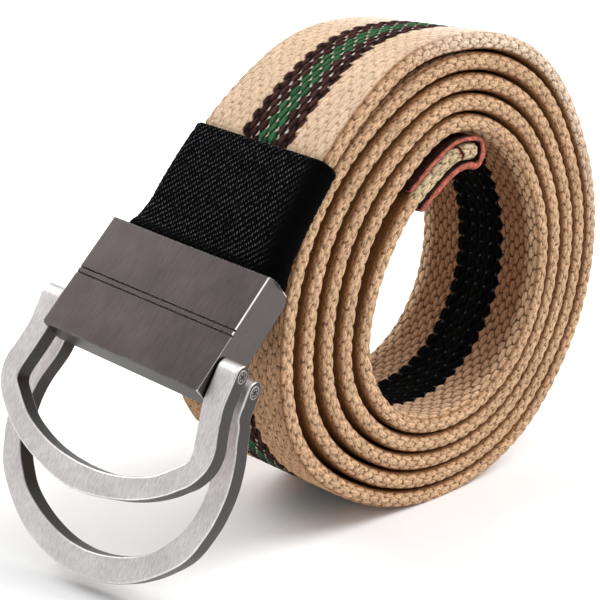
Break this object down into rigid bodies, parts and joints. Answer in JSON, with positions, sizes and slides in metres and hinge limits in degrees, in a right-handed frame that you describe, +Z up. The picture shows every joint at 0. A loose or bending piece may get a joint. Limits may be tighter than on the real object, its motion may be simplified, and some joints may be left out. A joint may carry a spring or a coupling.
{
  "type": "double ring belt",
  "caption": "Rolled cotton webbing belt with a colour stripe, a black sleeve, a metal clamp and two hinged open rings that fasten it.",
  "frame": {"origin": "middle of the bottom of the bounding box, on the surface the roll stands on", "axes": "+Z up, the roll's axis along Y with the leather tip's open side towards -Y, the buckle towards -X"},
  "size_m": [0.1436, 0.0586, 0.1058],
  "materials": {
    "webbing_strap": "coarse cotton webbing with a brown and green stripe",
    "leather_tip": "red-brown leather",
    "strap_sleeve": "black diagonal twill",
    "buckle_clamp": "dark brushed metal",
    "upper_pin": "dark brushed metal",
    "lower_pin": "dark brushed metal",
    "upper_ring": "brushed metal",
    "lower_ring": "brushed metal"
  },
  "bodies": {
    "belt": {"webbing_strap": "webbing_strap", "leather_tip": "leather_tip", "strap_sleeve": "strap_sleeve", "buckle_clamp": "buckle_clamp", "upper_pin": "upper_pin", "lower_pin": "lower_pin"},
    "upper_ring": {"upper_ring": "upper_ring"},
    "lower_ring": {"lower_ring": "lower_ring"}
  },
  "joints": [
    {"name": "upper_ring_hinge", "type": "hinge", "parent": "belt", "child": "upper_ring", "pos_m": [-0.05257, -0.0021, 0.05152], "axis": [-0.1902, 0.9714, 0.1418], "range_deg": [-4, 150]},
    {"name": "lower_ring_hinge", "type": "hinge", "parent": "belt", "child": "lower_ring", "pos_m": [-0.04825, -0.00056, 0.04678], "axis": [-0.1902, 0.9714, 0.1418], "range_deg": [-35, 0]}
  ]
}
